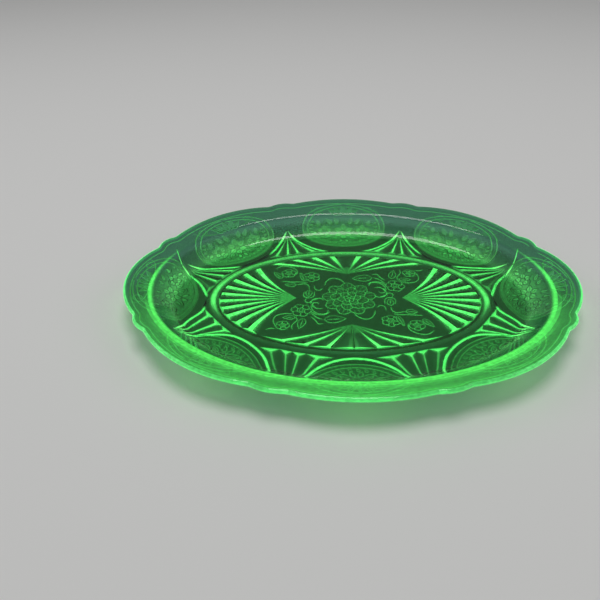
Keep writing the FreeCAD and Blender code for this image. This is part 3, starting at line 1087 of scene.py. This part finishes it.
# Inset of the shoulder line, and how the flange's painted glow changes with the inset.
SHOULDER = 18.9
FLANGE_PROFILE = ([0, 5, 9.5, 13, 16, 19.5], [1.05, 1.0, 0.72, 1.0, 1.15, 1.3])


def frontness(points):
    """1 for the front of the dish, 0 at its ends and -1 at the back."""
    return -points[:, 1] / np.hypot(points[:, 1], points[:, 0] * HALF_WIDTH / HALF_LENGTH)


def upper_glow(points):
    """Painted glow of the smooth upper face: the shoulder line, and the whole flange in front."""
    inset = inset_of(points)
    front = frontness(points)
    outer_reach = 0.9 + 0.9 * smoothstep(-0.3, 0.1, front) + 4.4 * smoothstep(0.1, 0.65, front)
    inner_reach = 0.8 + 0.7 * smoothstep(-0.3, 0.2, front)
    reach = np.where(inset < SHOULDER, outer_reach, inner_reach)
    shoulder = np.exp(-((inset - SHOULDER) / reach) ** 2) * (0.02 + 0.88 * smoothstep(-0.46, -0.05, front))
    flange = 0.02 + 0.25 * smoothstep(0.05, 0.55, front) + 0.12 * smoothstep(0.7, 1.0, front)
    return np.maximum(shoulder, flange * np.interp(inset, *FLANGE_PROFILE) * (inset < 19.5))


def rim_glow(points):
    """Painted glow of the rounded rim, strongest in front and at the ends."""
    front = frontness(points)
    return 0.1 + 0.7 * smoothstep(-0.9, -0.3, front) - 0.25 * smoothstep(0.6, 1.0, front)


def rim_colour(points):
    """Colour of the rim's painted glow at each plan point."""
    return np.outer(rim_glow(points), RIM_GLOW)


def ornament():
    """The whole plan of the underside."""
    plan = Plan()
    add_ring(plan)
    add_end_fans(plan)
    add_side_fans(plan)
    add_gap_fans(plan)
    add_frames(plan)
    add_rose(plan)
    add_sprays(plan)
    arch = OUTLINE + inward(OUTLINE) * ARCH_INSET
    plan.stroke(np.concatenate([arch, arch[:1]])[ARCH_GAP:-ARCH_GAP], ARCH_WIDTH, ARCH_GLOW)
    for medallion in MEDALLIONS:
        at_end = abs(medallion.outward[1]) < 0.3
        add_disc(plan, medallion)
        add_lobe(plan, medallion, LOBE_FILL, END_LOBE_LINE if at_end else OTHER_LOBE_LINE)
    return plan


def build_platter():
    """The platter as one closed mesh: underside, rounded rim and smooth upper face."""
    rim = rim_loops()
    corners, faces, glow, border = underside(ornament(), rim[-1][:, :2])
    corners = [corners]
    faces = [tuple(reversed(face)) for face in faces]
    glow = list(np.outer(glow, UNDER_GLOW))

    count = len(OUTLINE)
    total = len(corners[0])
    numbers = [np.array(border)]
    for loop in rim[-2::-1] + top_loops(rim[0][:, :2]):
        numbers.append(np.arange(total, total + count))
        corners.append(loop)
        total += count
    place = np.concatenate(corners)
    for row, (lower, upper) in enumerate(zip(numbers, numbers[1:])):
        quads = np.stack([lower, np.roll(lower, -1), np.roll(upper, -1), upper], 1)
        middles = place[quads].mean(1)[:, :2]
        on_rim = row < EDGE_STEPS
        glow += list(rim_colour(middles) if on_rim else np.outer(upper_glow(middles), UPPER_GLOW))
        faces += [tuple(int(n) for n in quad) for quad in quads]
    faces.append(tuple(int(n) for n in numbers[-1]))
    glow.append(np.zeros(3))

    mesh = bpy.data.meshes.new("platter_glass")
    mesh.from_pydata((place * MM).tolist(), [], faces)
    # Painted glow of every face, which the glass material shows as emission.
    attribute = mesh.attributes.new("glow", "FLOAT_COLOR", "FACE")
    colour = np.column_stack([np.array(glow), np.ones(len(glow))])
    attribute.data.foreach_set("color", colour.astype(np.float32).ravel())
    mesh.shade_smooth()
    mesh.set_sharp_from_angle(angle=SHARP_ANGLE)
    piece = bpy.data.objects.new("platter_glass", mesh)
    bpy.context.scene.collection.objects.link(piece)
    return piece


# ---- materials

def node(tree, kind, **values):
    """A shader node with some of its properties and inputs set."""
    made = tree.nodes.new(kind)
    for name, value in values.items():
        if name in made.inputs:
            made.inputs[name].default_value = value
        else:
            setattr(made, name, value)
    return made


def uranium_glass():
    """Green glass that absorbs like a deep green filter, with the painted glow of each facet as emission.
    """
    material = bpy.data.materials.new("uranium_glass")
    material.use_nodes = True
    tree = material.node_tree
    shader = tree.nodes["Principled BSDF"]
    shader.inputs["Base Color"].default_value = (1, 1, 1, 1)
    shader.inputs["Transmission Weight"].default_value = 1.0
    shader.inputs["Roughness"].default_value = 0.03
    shader.inputs["IOR"].default_value = 1.5
    absorption = node(tree, "ShaderNodeVolumeAbsorption", Color=(0.30, 0.615, 0.52, 1), Density=1000.0)
    glow = node(tree, "ShaderNodeAttribute", attribute_name="glow")
    place = node(tree, "ShaderNodeTexCoord")
    # Noise varies the strength of the painted glow from place to place.
    noise = node(tree, "ShaderNodeTexNoise", Scale=420.0, Detail=3.0)
    spread = node(tree, "ShaderNodeMapRange")
    for name, value in (("From Min", 0.3), ("From Max", 0.7), ("To Min", 0.72), ("To Max", 1.2)):
        spread.inputs[name].default_value = value
    tree.links.new(place.outputs["Object"], noise.inputs["Vector"])
    tree.links.new(noise.outputs["Fac"], spread.inputs["Value"])
    tree.links.new(glow.outputs["Color"], shader.inputs["Emission Color"])
    tree.links.new(spread.outputs["Result"], shader.inputs["Emission Strength"])
    tree.links.new(absorption.outputs[0], tree.nodes["Material Output"].inputs["Volume"])
    return material


def pale_floor():
    """A plain matt floor."""
    material = bpy.data.materials.new("pale_floor")
    material.use_nodes = True
    shader = material.node_tree.nodes["Principled BSDF"]
    shader.inputs["Base Color"].default_value = (0.78, 0.78, 0.77, 1)
    shader.inputs["Roughness"].default_value = 0.9
    return material


# ---- studio and camera

def area_light(name, place, size, power):
    """A round soft light aimed at the platter."""
    light = bpy.data.lights.new(name, "AREA")
    light.shape = "DISK"
    light.size = size
    light.energy = power
    lamp = bpy.data.objects.new(name, light)
    lamp.location = place
    lamp.rotation_euler = (-Vector(place)).to_track_quat("-Z", "Y").to_euler()
    bpy.context.scene.collection.objects.link(lamp)


def add_studio():
    """Even grey surroundings, three soft lights and the floor."""
    world = bpy.data.worlds.new("studio")
    world.use_nodes = True
    world.node_tree.nodes["Background"].inputs["Color"].default_value = (1, 1, 1, 1)
    world.node_tree.nodes["Background"].inputs["Strength"].default_value = 0.2
    bpy.context.scene.world = world
    area_light("top_light", (0.0, 0.15, 1.9), 1.1, 14)
    area_light("left_light", (-1.5, 0.1, 1.0), 1.1, 3.5)
    area_light("right_light", (1.5, -0.1, 1.0), 1.1, 2.5)
    floor_mesh = bpy.data.meshes.new("floor")
    corners = [(x * FLOOR_HALF, y * FLOOR_HALF, FLOOR_LEVEL) for x, y in QUADRANTS]
    floor_mesh.from_pydata(corners, [], [(0, 1, 2, 3)])
    floor_mesh.materials.append(pale_floor())
    floor = bpy.data.objects.new("floor", floor_mesh)
    bpy.context.scene.collection.objects.link(floor)


def add_camera():
    """A camera with the angle of view and height of the reference view."""
    data = bpy.data.cameras.new("camera")
    data.lens = 36
    data.sensor_width = 36
    camera = bpy.data.objects.new("camera", data)
    camera.rotation_mode = "XYZ"
    tilt = Matrix.Rotation(math.pi / 2 - CAMERA_ELEVATION, 4, "X")
    heading = Matrix.Rotation(-CAMERA_AZIMUTH, 4, "Z")
    roll = Matrix.Rotation(CAMERA_ROLL, 4, "Z")
    camera.matrix_world = Matrix.Translation(CAMERA_PLACE) @ heading @ tilt @ roll
    bpy.context.scene.collection.objects.link(camera)
    bpy.context.scene.camera = camera


bpy.context.scene.view_settings.view_transform = "Standard"
platter = build_platter()
platter.data.materials.append(uranium_glass())
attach(platter, "root")
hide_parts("platter")
add_studio()
add_camera()
